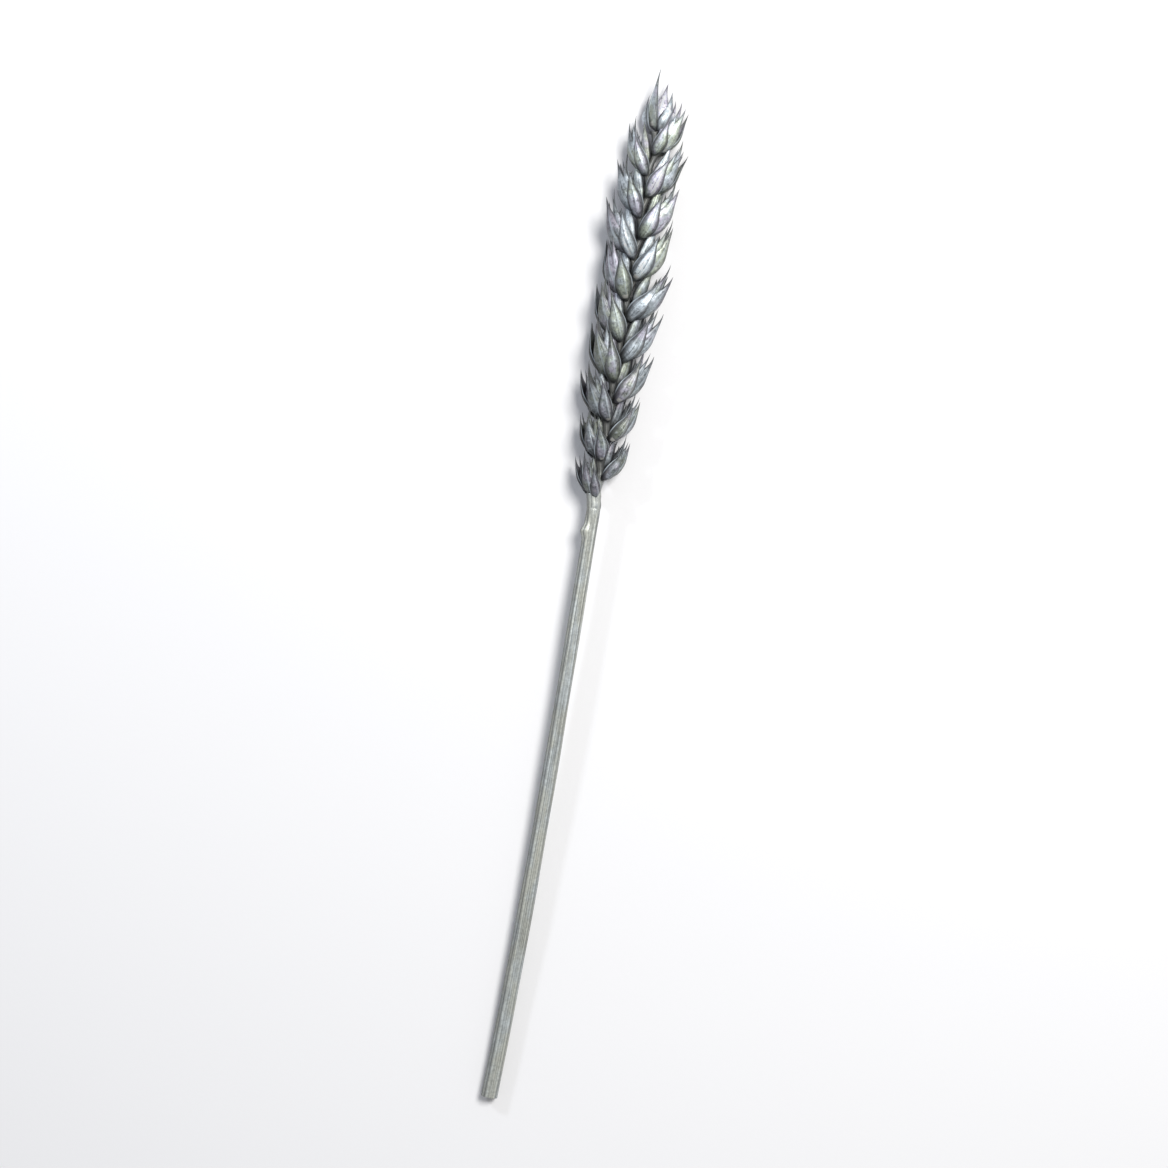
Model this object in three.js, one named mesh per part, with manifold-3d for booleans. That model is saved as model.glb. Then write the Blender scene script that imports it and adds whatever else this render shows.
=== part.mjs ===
// One ear of bread wheat on a length of its straw, cut, dried and painted silver grey, lying on its side.
// Millimetres, +Z up. The straw's cut end points to -Y and the tip of the ear to +Y, with the origin under
// the middle, on the surface that the ear rests on. The ear is a zigzag rachis with spikelets in two rows.
// Each spikelet is a fan of chaff scales: two keeled glumes outside and three plump lemmas between them.
import * as THREE from "three";
import { mergeVertices } from "three/addons/utils/BufferGeometryUtils.js";
import Module from "manifold-3d";

// Driving dimensions
const TOTAL_LENGTH = 210;
const EAR_LENGTH = 89;
const RACHIS_LENGTH = 76;
const RACHIS_RADIUS = 0.95;
const NECK_RADIUS = 1.25; // of the rachis where it leaves the straw
const ZIGZAG = 0.55; // of the rachis to either side
const STRAW_CUT_RADIUS = 1.6;
const STRAW_TOP_RADIUS = 1.3;
const STRAW_RIBS = 10;
const RIB_DEPTH = 0.09;
const COLLAR_FLARE = 0.1; // added to the straw's radius where it meets the ear
const COLLAR_LENGTH = 5;
const LUMEN_RADIUS = 0.85;
const LUMEN_DEPTH = 7;
const JOINT_GAP = 0.3; // between the straw's end and the ear
const KNOB_BELOW = 5.5; // from the straw's end down to the knob on its collar
const KNOB_RADII = [1, 1.6, 0.9]; // out, along the stem and across
const KNOB_OUT = 1.2; // of its middle from the straw's

// The lateral spikelets are numbered from 0 at the collar. They open from the small ones at the base, and
// close again above the middle of the ear.
const LATERAL_SPIKELETS = 18;
const FIRST_SPIKELET = 2; // above the collar
const SPACING_POWER = 1.04; // over 1 sets the spikelets closer at the base
const BASE_SIZE = 0.68;
const OPENING_STEP = 0.055;
const CLOSING_FROM = 12;
const CLOSING_SHARE = 0.3;
const CLOSING_POWER = 1.2;
const TERMINAL_SIZE = 0.8;
const SHORTEST_AWN = 0.2;
const AWN_GROWTH = 1.5;
const AWN_POWER = 2.2;
const LAST_AWN = 3; // added to one awn of the terminal spikelet
const TIP_SCATTER = 0.4;
const SPIKELET_LEAN = 0.07; // of a spikelet from the rule, either way, in radians

// Where the straw is cut, and where it ends in the ear, along Y
const CUT_Y = -TOTAL_LENGTH / 2;
const COLLAR_Y = TOTAL_LENGTH / 2 - EAR_LENGTH;

// The stem's centre line, through four control points that are evenly spaced along Y, so that Y runs evenly
// with the curve's parameter: slightly bowed in plan, rising to the ear in side view and nodding at its tip.
const PLAN_BOW = [-2.75, 0.55, -1.25, 0.55];
const SIDE_RISE = [STRAW_CUT_RADIUS, 3.4, 7.3, 2.3];
const CENTRE_LINE = new THREE.CubicBezierCurve3(
  ...PLAN_BOW.map((x, i) => new THREE.Vector3(x, CUT_Y + (TOTAL_LENGTH * i) / 3, SIDE_RISE[i])),
);
const TANGENT_STEP = 1e-3;

// The ear is rolled on its stem, and twists slowly towards the tip, so that it rests on the right of its
// lower half, on the left of its upper half and on the straw's cut end, in radians.
const ROLL_AT_COLLAR = -0.42;
const ROLL_AT_TIP = 0.28;

// A repeatable draw from -1 to 1 for piece i and property k.
function draw(i, k) {
  const v = Math.sin(i * 12.9898 + k * 78.233) * 43758.5453;
  return 2 * (v - Math.floor(v)) - 1;
}

function smooth(low, high, x) {
  const t = Math.min(1, Math.max(0, (x - low) / (high - low)));
  return t * t * (3 - 2 * t);
}

// Origin and directions on the centre line at y: along the stem, out to the row of side +1, and across
// a spikelet's fan.
function stemFrame(y) {
  const t = (y - CUT_Y) / TOTAL_LENGTH;
  const behind = CENTRE_LINE.getPoint(t - TANGENT_STEP);
  const along = CENTRE_LINE.getPoint(t + TANGENT_STEP).sub(behind).normalize();
  const level = new THREE.Vector3().crossVectors(along, new THREE.Vector3(0, 0, 1)).normalize();
  const up = new THREE.Vector3().crossVectors(level, along);
  const roll = THREE.MathUtils.lerp(ROLL_AT_COLLAR, ROLL_AT_TIP, smooth(COLLAR_Y, -CUT_Y, y));
  const out = level.clone().multiplyScalar(Math.cos(roll)).addScaledVector(up, Math.sin(roll));
  const fan = up.clone().multiplyScalar(Math.cos(roll)).addScaledVector(level, -Math.sin(roll));
  return { origin: CENTRE_LINE.getPoint(t), along, out, fan };
}

// Cross-sections as [across, outward] pairs of the half width and thickness, from one edge over the back to
// the other edge and then the inside. A glume has a keel, and a lemma is round over its grain.
const GLUME_SECTION = [[1, 0], [0.62, 0.62], [-0.12, 1.12], [-0.66, 0.6], [-1, 0], [0, -0.55]];
const LEMMA_SECTION = [[1, 0], [0.72, 0.7], [0, 1.08], [-0.72, 0.7], [-1, 0], [0, -0.8]];

// The chaff of one spikelet in its own frame, in millimetres: [out, fan, along] of the base, of the belly
// that the scale bends round, and of the tip, then half width, thickness, and the way that its back faces.
const GLUMES = [1, -1].map((side) => ({
  section: GLUME_SECTION,
  base: [-0.5, 0.7 * side, -0.9],
  belly: [1.7, 4.4 * side, 1.6],
  tip: [3.7, 3.8 * side, 8.5],
  halfWidth: 2.15,
  thickness: 1.25,
  back: [0.2, 0.98 * side, 0],
}));
const LEMMAS = [
  { base: [0, 0.3, 0.2], belly: [4.7, 3.3, 3.2], tip: [6.1, 2.8, 9.6], back: [0.6, 0.8, 0] },
  { base: [0, -0.3, 0.4], belly: [4.7, -3.2, 3.6], tip: [6.0, -2.7, 10.0], back: [0.6, -0.8, 0] },
  { base: [0.2, 0, 1.0], belly: [4.9, 0.4, 5.0], tip: [5.2, 0.4, 12.2], back: [1, 0.15, 0] },
].map((lemma) => ({ section: LEMMA_SECTION, halfWidth: 2.1, thickness: 1.35, ...lemma }));

// Share of the half width along a scale: a round belly low down, drawn in to a slender beak.
const BELLY_POWER = 0.68; // under 1 sets the belly nearer to the base
const BEAK_FROM = 0.5;
const BEAK_TO = 0.92;
const BEAK_THINNING = 0.5;
function plumpness(t) {
  return Math.sin(Math.PI * t ** BELLY_POWER) * (1 - BEAK_THINNING * smooth(BEAK_FROM, BEAK_TO, t));
}

const SCALE_BANDS = 6;

// A sphere drawn out along a curve from base to tip, with its rings turned into the scale's section.
function scaleGeometry(curve, back, section, halfWidth, thickness) {
  const sides = section.length;
  const geometry = new THREE.SphereGeometry(1, sides, SCALE_BANDS);
  const place = geometry.getAttribute("position");
  for (let i = 0; i < place.count; i++) {
    const t = Math.floor(i / (sides + 1)) / SCALE_BANDS;
    const [across, outward] = section[(i % (sides + 1)) % sides];
    const along = curve.getTangent(t).normalize();
    const width = new THREE.Vector3().crossVectors(along, back).normalize();
    const normal = new THREE.Vector3().crossVectors(width, along);
    const share = t > 0 && t < 1 ? plumpness(t) : 0;
    const p = curve
      .getPoint(t)
      .addScaledVector(width, across * share * halfWidth)
      .addScaledVector(normal, outward * share * thickness);
    place.setXYZ(i, p.x, p.y, p.z);
  }
  return geometry;
}

// A cylinder bent along the centre line. station(t, angle) gives, for t from 0 to 1 along it, the place on
// the stem, the radius there, and how far the section is pushed out sideways.
function stemGeometry(sides, bands, station) {
  const geometry = new THREE.CylinderGeometry(1, 1, 1, sides, bands);
  const place = geometry.getAttribute("position");
  for (let i = 0; i < place.count; i++) {
    const across = Math.hypot(place.getX(i), place.getZ(i));
    const angle = Math.atan2(place.getZ(i), place.getX(i));
    const { y, radius, push = 0 } = station(place.getY(i) + 0.5, angle);
    const { origin, out, fan } = stemFrame(y);
    const p = origin
      .addScaledVector(out, push + radius * across * Math.cos(angle))
      .addScaledVector(fan, radius * across * Math.sin(angle));
    place.setXYZ(i, p.x, p.y, p.z);
  }
  return geometry;
}

const wasm = await Module();
wasm.setup();

// A closed three.js geometry as a solid that can be joined and cut.
const WELD = 1e-4;
function toSolid(geometry) {
  geometry.deleteAttribute("normal");
  geometry.deleteAttribute("uv");
  const merged = mergeVertices(geometry, WELD);
  return new wasm.Manifold(
    new wasm.Mesh({
      numProp: 3,
      vertProperties: new Float32Array(merged.getAttribute("position").array),
      triVerts: new Uint32Array(merged.index.array),
    }),
  );
}

function toGeometry(solid) {
  const mesh = solid.getMesh();
  const geometry = new THREE.BufferGeometry();
  geometry.setAttribute("position", new THREE.BufferAttribute(mesh.vertProperties, 3));
  geometry.setIndex(new THREE.BufferAttribute(mesh.triVerts, 1));
  geometry.computeVertexNormals();
  return geometry;
}

// One scale as a solid in a spikelet's frame. seed picks its own scatter of the tip.
function scaleSolid(frame, size, scale, seed, awn) {
  const turn = ([out, fan, along]) =>
    new THREE.Vector3()
      .addScaledVector(frame.out, out)
      .addScaledVector(frame.fan, fan)
      .addScaledVector(frame.along, along);
  const place = (point) => turn(point).multiplyScalar(size).add(frame.origin);
  const tip = scale.tip.map((v, axis) => v + TIP_SCATTER * draw(seed, axis));
  const slant = turn(tip).sub(turn(scale.belly)).normalize();
  const end = place(tip).addScaledVector(slant, awn);
  const curve = new THREE.QuadraticBezierCurve3(place(scale.base), place(scale.belly), end);
  const back = turn(scale.back).normalize();
  return toSolid(
    scaleGeometry(curve, back, scale.section, scale.halfWidth * size, scale.thickness * size),
  );
}

function spikeletSize(k) {
  const opening = Math.min(1, BASE_SIZE + OPENING_STEP * k);
  const past = Math.max(0, (k - CLOSING_FROM) / (LATERAL_SPIKELETS - CLOSING_FROM));
  return opening * (1 - CLOSING_SHARE * past ** CLOSING_POWER);
}

function spikeletY(k) {
  const share = (k / LATERAL_SPIKELETS) ** SPACING_POWER;
  return COLLAR_Y + FIRST_SPIKELET + (RACHIS_LENGTH - FIRST_SPIKELET) * share;
}

function awnLength(k) {
  return SHORTEST_AWN + AWN_GROWTH * (k / LATERAL_SPIKELETS) ** AWN_POWER;
}

// The spikelets alternate from side to side.
function sideOf(k) {
  return k % 2 ? 1 : -1;
}

const SCALES = [...GLUMES, ...LEMMAS];

function awnOf(scale, k) {
  if (!LEMMAS.includes(scale)) return 0;
  const last = k === LATERAL_SPIKELETS && scale === LEMMAS[1];
  return awnLength(k) + (last ? LAST_AWN : 0);
}

function seedOf(k, i) {
  return 10 * k + i;
}

const LEAN_DRAW = 20; // the property number of its draw
function lateralSpikelet(k) {
  const frame = stemFrame(spikeletY(k));
  frame.out.multiplyScalar(sideOf(k));
  frame.origin.addScaledVector(frame.out, ZIGZAG);
  const straight = frame.along.clone();
  const lean = SPIKELET_LEAN * draw(k, LEAN_DRAW);
  frame.along.multiplyScalar(Math.cos(lean)).addScaledVector(frame.out, Math.sin(lean));
  frame.out.multiplyScalar(Math.cos(lean)).addScaledVector(straight, -Math.sin(lean));
  return SCALES.map((scale, i) =>
    scaleSolid(frame, spikeletSize(k), scale, seedOf(k, i), awnOf(scale, k)),
  );
}

// The last spikelet ends the rachis. Its fan is turned a quarter round, and its scales close upwards.
const UPRIGHT_BASE = 0.6;
const UPRIGHT_BELLY = 0.35;
const UPRIGHT_TIP = 0.2;
const FAN_BASE = 0.7;
const FAN_BELLY = 0.85;
const FAN_TIP = 0.7;
function upright(scale, i) {
  const { base, belly, tip } = scale;
  return {
    ...scale,
    base: [base[0] - UPRIGHT_BASE, FAN_BASE * base[1], base[2]],
    belly: [UPRIGHT_BELLY * belly[0], FAN_BELLY * belly[1], belly[2]],
    tip: [UPRIGHT_TIP * sideOf(i) * tip[0], FAN_TIP * tip[1], tip[2]],
  };
}

function terminalSpikelet() {
  const k = LATERAL_SPIKELETS;
  const { origin, along, out, fan } = stemFrame(COLLAR_Y + RACHIS_LENGTH);
  const frame = { origin, along, out: fan, fan: out };
  return SCALES.map((scale, i) =>
    scaleSolid(frame, TERMINAL_SIZE, upright(scale, i), seedOf(k, i), awnOf(scale, k)),
  );
}

// The rachis steps from one side to the other between spikelets, and thins towards the tip.
const RACHIS_SIDES = 6;
const RACHIS_THINNING = 0.3;
function rachisStation(t) {
  const k = Math.round(t * (LATERAL_SPIKELETS + 1)) - 1;
  return {
    y: k < 0 ? COLLAR_Y + JOINT_GAP : spikeletY(k),
    radius: k < 0 ? NECK_RADIUS : RACHIS_RADIUS * (1 - RACHIS_THINNING * t),
    push: k < 0 ? 0 : sideOf(k) * ZIGZAG,
  };
}

// The straw: a ribbed, slightly tapering tube that is open at its cut end and flares into the ear.
const STRAW_BANDS = 26;
function strawStation(t, angle) {
  const y = THREE.MathUtils.lerp(CUT_Y, COLLAR_Y, t);
  const taper = THREE.MathUtils.lerp(STRAW_CUT_RADIUS, STRAW_TOP_RADIUS, t);
  const collar = COLLAR_FLARE * smooth(COLLAR_Y - COLLAR_LENGTH, COLLAR_Y, y);
  return { y, radius: taper + collar + RIB_DEPTH * Math.cos(STRAW_RIBS * angle) };
}

// The small knob on one side of the collar.
const KNOB_SIDES = 10;
const KNOB_BANDS = 6;
function knobGeometry() {
  const { origin, along, out, fan } = stemFrame(COLLAR_Y - KNOB_BELOW);
  const geometry = new THREE.SphereGeometry(1, KNOB_SIDES, KNOB_BANDS).scale(...KNOB_RADII);
  geometry.translate(-KNOB_OUT, 0, 0);
  return geometry.applyMatrix4(new THREE.Matrix4().makeBasis(out, along, fan).setPosition(origin));
}

// The lumen starts a little way outside the cut end, so that it opens it.
const LUMEN_SIDES = 8;
const LUMEN_START = -1;
function lumenStation(t) {
  return { y: CUT_Y + THREE.MathUtils.lerp(LUMEN_START, LUMEN_DEPTH, t), radius: LUMEN_RADIUS };
}

// What would be under the surface is cut flat.
const UNDERGROUND = [100, 300, 10];
const underground = toSolid(
  new THREE.BoxGeometry(...UNDERGROUND).translate(0, 0, -UNDERGROUND[2] / 2),
);

const rachis = toSolid(stemGeometry(RACHIS_SIDES, LATERAL_SPIKELETS + 1, rachisStation));
const lateral = Array.from({ length: LATERAL_SPIKELETS }, (_, k) => lateralSpikelet(k)).flat();
const earSolid = wasm.Manifold.union([rachis, ...lateral, ...terminalSpikelet()]).subtract(underground);

const tube = toSolid(stemGeometry(2 * STRAW_RIBS, STRAW_BANDS, strawStation));
const lumen = toSolid(stemGeometry(LUMEN_SIDES, 1, lumenStation));
const knob = toSolid(knobGeometry());
const strawSolid = tube.add(knob).subtract(lumen).subtract(underground);

const chaffPaint = new THREE.MeshStandardMaterial({ color: 0x8a8c8d, roughness: 0.42, metalness: 0.55 });
const strawPaint = new THREE.MeshStandardMaterial({ color: 0x808384, roughness: 0.48, metalness: 0.5 });

const ear = new THREE.Mesh(toGeometry(earSolid), chaffPaint);
ear.name = "ear";
const straw = new THREE.Mesh(toGeometry(strawSolid), strawPaint);
straw.name = "straw";

const wheat = new THREE.Group();
wheat.add(ear, straw);
export default wheat;
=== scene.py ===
"""A dried ear of bread wheat on a cut length of straw, painted silver grey, lying on a pale surface.

The ear is grown by rule: spikelets in two rows on a zigzag rachis, and in each spikelet two keeled glumes
round plump lemmas. Lengths inside the mesh code are millimetres; the meshes themselves are in metres."""

import math

import bpy
import numpy as np
from mathutils import Matrix, Vector


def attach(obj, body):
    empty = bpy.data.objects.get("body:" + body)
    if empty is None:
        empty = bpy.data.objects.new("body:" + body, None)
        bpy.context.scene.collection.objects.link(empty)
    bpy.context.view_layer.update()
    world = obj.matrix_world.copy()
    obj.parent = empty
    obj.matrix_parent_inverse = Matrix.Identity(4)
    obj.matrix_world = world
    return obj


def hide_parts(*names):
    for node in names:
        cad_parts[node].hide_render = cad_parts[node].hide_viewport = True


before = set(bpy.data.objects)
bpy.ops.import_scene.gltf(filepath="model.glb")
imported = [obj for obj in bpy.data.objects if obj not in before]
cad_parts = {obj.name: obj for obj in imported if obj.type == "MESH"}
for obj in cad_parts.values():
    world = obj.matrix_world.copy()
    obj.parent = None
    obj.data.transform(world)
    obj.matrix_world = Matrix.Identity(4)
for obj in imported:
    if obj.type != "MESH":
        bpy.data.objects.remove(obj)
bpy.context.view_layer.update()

bl_info = {
    "name": "Painted wheat ear",
    "version": (1, 0, 0),
    "blender": (4, 5, 0),
    "location": "3D View > Sidebar > Wheat",
    "description": "Grows one painted ear of bread wheat with its straw, and sets up its studio",
    "category": "Add Mesh",
}

MM = 0.001
TURN = 2 * math.pi

# The rules of the solids, in millimetres: the stem's bow seen from above and its rise, then the spikelets'
# place, size and lean, the awns, and the knob on the straw
PLAN_BOW = (-2.75, 0.55, -1.25, 0.55)
RISE = (3.4, 7.3, 2.3)
TANGENT_STEP = 1e-3
FIRST_SPIKELET = 2.0
SPACING_POWER = 1.04
OPENING_STEP = 0.055
CLOSING_FROM = 12
CLOSING_SHARE = 0.3
CLOSING_POWER = 1.2
SPIKELET_LEAN = 0.07
LEAN_DRAW = 20
AWN_POWER = 2.2
LAST_AWN = 3.0
OTHER_LAST_AWNS = 0.3
BELLY_POWER = 0.68
BEAK_THINNING = 0.5
KNOB_BELOW = 5.5
KNOB_HEIGHT = 0.75
KNOB_LENGTH = 1.1

# How a scale strays from its rule: turn and curl of its beak, waver of its spine, width and depth
TWIST = 0.35
CURL, CURL_SCATTER = 0.55, 0.3
WAVER = 0.24
WIDTH_SCATTER = 0.06
DEPTH_SCATTER = 0.1

# Relief of a scale's back, as shares of its depth
RIDGE_WIDTH, RIDGE_EDGE = 0.11, 1.4
NERVE_COUNT, NERVE_HEIGHT = 7, 0.03
DENT_DEPTH, DENT_ACROSS, DENT_ALONG = 0.17, 0.3, 0.15
RUMPLE = 0.05

# Rows and columns of each kind of scale, place and height of its keel, and where its draws start in the ten
# that each spikelet has
GLUME_MESH, LEMMA_MESH, UPPER_MESH = (30, 24), (26, 18), (22, 14)
GLUME_KEEL, GLUME_KEEL_HEIGHT = 0.22, 0.32
LEMMA_KEEL_HEIGHT, UPPER_KEEL_HEIGHT = 0.1, 0.14
DRAWS, LEMMA_DRAWS, UPPER_DRAWS = 10, 2, 5

# The palea's pod, as shares of its lemma
POD_LENGTH, POD_BEND, POD_WIDTH, POD_DEPTH, POD_GROOVE = 0.72, 0.9, 0.78, 0.75, 0.2

# Hairs at a spikelet's foot, and half the thickness of one
BRISTLES, BRISTLE_RADIUS = 26, 0.035

RACHIS_STATIONS, RACHIS_COLUMNS, EASING = 260, 28, 11
STRAW_STATIONS, STRAW_COLUMNS = 300, 96
LUMEN_STATIONS = (1, 0.8, 0.6, 0.4, 0.2, 0.08)
CUT_FACE_STATIONS = (0.12, 0.5, 0.9)

# The studio, in metres and watts
FLOOR_SPAN = 3.0
SKY_COLOUR, SKY_STRENGTH = (0.93, 0.95, 1.0, 1), 0.34
LIGHTS = (
    ("key", (0.2, 0.24, 0.6), 0.28, 4.5, (1.0, 0.985, 0.96)),
    ("rim", (-0.34, 0.22, 0.3), 0.07, 0.55, (0.85, 0.9, 1.0)),
)
LIGHTS_AIM = (0, 0.02, 0)
LENS = 85
VIEW = 0.236
LEAN = math.radians(9)

PRESSED = 0.1  # how softly the underside is pressed flat, in millimetres
INSIDE = 1.5  # grain's across on the inside of a scale, where the outside has -1 to 1
SEED_STEP = 0.6180339  # spreads the scales' seeds evenly over 0 to 1
BRIGHTEST = 0.8  # the most that any channel of the paint reflects


class EarSizes(bpy.types.PropertyGroup):
    """Sizes of the ear and its straw."""

    ear_length: bpy.props.FloatProperty(
        name="Ear length",
        description="From the collar to the tip of the last awn",
        default=0.089, unit="LENGTH",
    )
    straw_length: bpy.props.FloatProperty(
        name="Straw length", description="From the cut end to the collar", default=0.121, unit="LENGTH"
    )
    rachis_length: bpy.props.FloatProperty(
        name="Rachis length", description="From the collar to the last spikelet", default=0.076, unit="LENGTH"
    )
    rachis_radius: bpy.props.FloatProperty(
        name="Rachis radius",
        description="Half the rachis's width at the collar",
        default=0.00095, unit="LENGTH",
    )
    zigzag: bpy.props.FloatProperty(
        name="Zigzag", description="How far the rachis steps to either side", default=0.00055, unit="LENGTH"
    )
    spikelets: bpy.props.IntProperty(
        name="Spikelets",
        description="Spikelets in the two rows, without the last one",
        default=18, min=4, max=30,
    )
    base_size: bpy.props.FloatProperty(
        name="Lowest size", description="Size of the lowest spikelet as a share of the largest", default=0.68
    )
    terminal_size: bpy.props.FloatProperty(
        name="Last size", description="Size of the last spikelet as a share of the largest", default=0.8
    )
    awn_least: bpy.props.FloatProperty(
        name="Shortest awn", description="Awn of the lowest lemmas", default=0.0002, unit="LENGTH"
    )
    awn_growth: bpy.props.FloatProperty(
        name="Awn growth",
        description="Added to the awns by the tip of the ear",
        default=0.0015, unit="LENGTH",
    )
    scatter: bpy.props.FloatProperty(
        name="Scatter",
        description="How far the scales' tips stray from the rule",
        default=0.0004, unit="LENGTH",
    )
    wall: bpy.props.FloatProperty(
        name="Chaff thickness", description="Thickness of a glume or lemma", default=0.00022, unit="LENGTH"
    )
    roll_at_collar: bpy.props.FloatProperty(
        name="Roll at collar",
        description="Turn of the ear on its stem at the collar",
        default=-0.42, subtype="ANGLE",
    )
    roll_at_tip: bpy.props.FloatProperty(
        name="Roll at tip",
        description="Turn of the ear on its stem at the tip",
        default=0.28, subtype="ANGLE",
    )
    straw_cut_radius: bpy.props.FloatProperty(
        name="Straw radius, cut end",
        description="Radius of the straw where it is cut",
        default=0.0016, unit="LENGTH",
    )
    straw_top_radius: bpy.props.FloatProperty(
        name="Straw radius, top",
        description="Radius of the straw under the ear",
        default=0.0013, unit="LENGTH",
    )
    lumen_radius: bpy.props.FloatProperty(
        name="Lumen radius", description="Radius of the hollow in the straw", default=0.00085, unit="LENGTH"
    )
    lumen_depth: bpy.props.FloatProperty(
        name="Lumen depth",
        description="How far the hollow goes in from the cut",
        default=0.007, unit="LENGTH",
    )


class PaintColours(bpy.types.PropertyGroup):
    """Colours of the paint and of what shows through it."""

    silver: bpy.props.FloatVectorProperty(
        name="Silver",
        description="The paint where it is full",
        subtype="COLOR", size=3, default=(0.28, 0.315, 0.34),
    )
    # The dark paint, and also the colour of the painted shade in gaps, on flanks, inside the scales and
    # behind them
    graphite_and_shade: bpy.props.FloatVectorProperty(
        name="Graphite",
        description="The paint in gaps",
        subtype="COLOR", size=3, default=(0.035, 0.035, 0.037),
    )
    lilac: bpy.props.FloatVectorProperty(
        name="Lilac", description="Tint of some scales", subtype="COLOR", size=3, default=(0.297, 0.264, 0.33)
    )
    olive: bpy.props.FloatVectorProperty(
        name="Olive",
        description="Tint of other scales",
        subtype="COLOR", size=3, default=(0.223, 0.247, 0.182),
    )
    khaki: bpy.props.FloatVectorProperty(
        name="Khaki", description="The straw's own tint", subtype="COLOR", size=3, default=(0.44, 0.45, 0.395)
    )
    husk: bpy.props.FloatVectorProperty(
        name="Husk", description="Chaff under thin paint", subtype="COLOR", size=3, default=(0.33, 0.25, 0.15)
    )
    callus: bpy.props.FloatVectorProperty(
        name="Callus",
        description="The pale foot of each scale",
        subtype="COLOR", size=3, default=(0.74, 0.73, 0.68),
    )
    floor: bpy.props.FloatVectorProperty(
        name="Floor",
        description="The surface under the ear",
        subtype="COLOR", size=3, default=(0.82, 0.82, 0.83),
    )


def sizes():
    """The sizes that the user has set."""
    return bpy.context.scene.wheat_sizes


def colours():
    """The colours that the user has set."""
    return bpy.context.scene.wheat_colours


# Growing rules


def draw(i, k):
    """A repeatable number from -1 to 1 for piece i and property k."""
    v = math.sin(i * 12.9898 + k * 78.233) * 43758.5453
    return 2 * (v - math.floor(v)) - 1


def smooth(low, high, x):
    """0 below low, 1 above high and an S curve between."""
    t = np.clip((x - low) / (high - low), 0, 1)
    return t * t * (3 - 2 * t)


def unit(v):
    """Vectors along the last axis, each made one long."""
    return v / np.linalg.norm(v, axis=-1, keepdims=True)


class Ear:
    """The growing rule in millimetres, read once from the sizes."""

    def __init__(self):
        s = sizes()
        self.total = (s.ear_length + s.straw_length) / MM
        self.cut = -self.total / 2
        self.collar = self.cut + s.straw_length / MM
        self.rachis = s.rachis_length / MM
        self.rachis_radius = s.rachis_radius / MM
        self.zigzag = s.zigzag / MM
        self.count = s.spikelets
        self.wall = s.wall / MM
        self.scatter = s.scatter / MM
        self.rolls = (s.roll_at_collar, s.roll_at_tip)
        self.base_size = s.base_size
        self.terminal_size = s.terminal_size
        self.awns = (s.awn_least / MM, s.awn_growth / MM)
        self.cut_radius = s.straw_cut_radius / MM
        self.top_radius = s.straw_top_radius / MM
        rise = (self.cut_radius, *RISE)
        bow = enumerate(zip(PLAN_BOW, rise))
        self.line = np.array([(x, self.cut + self.total * i / 3, z) for i, (x, z) in bow])

    def point(self, t):
        """Point on the centre line, from the cut at 0 to the tip at 1."""
        a, b, c, d = self.line
        u = 1 - t
        return u**3 * a + 3 * u * u * t * b + 3 * u * t * t * c + t**3 * d

    def frame(self, y):
        """Origin, along, out and fan on the centre line at y."""
        t = (y - self.cut) / self.total
        along = unit(self.point(t + TANGENT_STEP) - self.point(t - TANGENT_STEP))
        level = unit(np.cross(along, (0, 0, 1)))
        up = np.cross(level, along)
        low, high = self.rolls
        roll = low + (high - low) * smooth(self.collar, -self.cut, y)
        out = level * math.cos(roll) + up * math.sin(roll)
        fan = up * math.cos(roll) - level * math.sin(roll)
        return self.point(t), along, out, fan

    def size(self, k):
        """Size of spikelet k: it grows up from the collar, and shrinks again towards the tip."""
        opening = min(1, self.base_size + OPENING_STEP * k)
        past = max(0, (k - CLOSING_FROM) / (self.count - CLOSING_FROM))
        return opening * (1 - CLOSING_SHARE * past**CLOSING_POWER)

    def y(self, k):
        """Where spikelet k stands on the rachis."""
        share = (k / self.count) ** SPACING_POWER
        return self.collar + FIRST_SPIKELET + (self.rachis - FIRST_SPIKELET) * share

    def awn(self, k):
        """Length of the awns of spikelet k."""
        return self.awns[0] + self.awns[1] * (k / self.count) ** AWN_POWER

    def spikelet(self, k):
        """Origin, directions and size of spikelet k; the last one is turned a quarter round."""
        if k == self.count:
            origin, along, out, fan = self.frame(self.collar + self.rachis)
            return origin, along, fan, out, self.terminal_size
        side = 1 if k % 2 else -1
        origin, along, out, fan = self.frame(self.y(k))
        out = out * side
        origin = origin + out * self.zigzag
        lean = SPIKELET_LEAN * draw(k, LEAN_DRAW)
        leant_along = along * math.cos(lean) + out * math.sin(lean)
        leant_out = out * math.cos(lean) - along * math.sin(lean)
        return origin, leant_along, leant_out, fan, self.size(k)


# The chaff of one spikelet: (out, fan, along) of the base, of the belly that the scale bends round, and of
# the tip, then half width, thickness, and the way that its back faces. Millimetres, as in the solids, apart
# from the glumes' width and outline.
def glume_rule(side):
    """A keeled outer scale, on either side of its spikelet."""
    return {
        "base": (-0.5, 0.7 * side, -0.9),
        "belly": (1.7, 4.4 * side, 1.6),
        "tip": (3.7, 3.8 * side, 8.5),
        "half_width": 1.85,
        "thickness": 1.25,
        "belly_power": 0.84,
        "beak_thinning": 0.38,
        "back": (0.2, 0.98 * side, 0),
    }


def lemma_rule(base, belly, tip, back, half_width=2.1, thickness=1.35):
    """A plump inner scale."""
    return {
        "base": base,
        "belly": belly,
        "tip": tip,
        "half_width": half_width,
        "thickness": thickness,
        "belly_power": BELLY_POWER,
        "beak_thinning": BEAK_THINNING,
        "back": back,
    }


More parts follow.
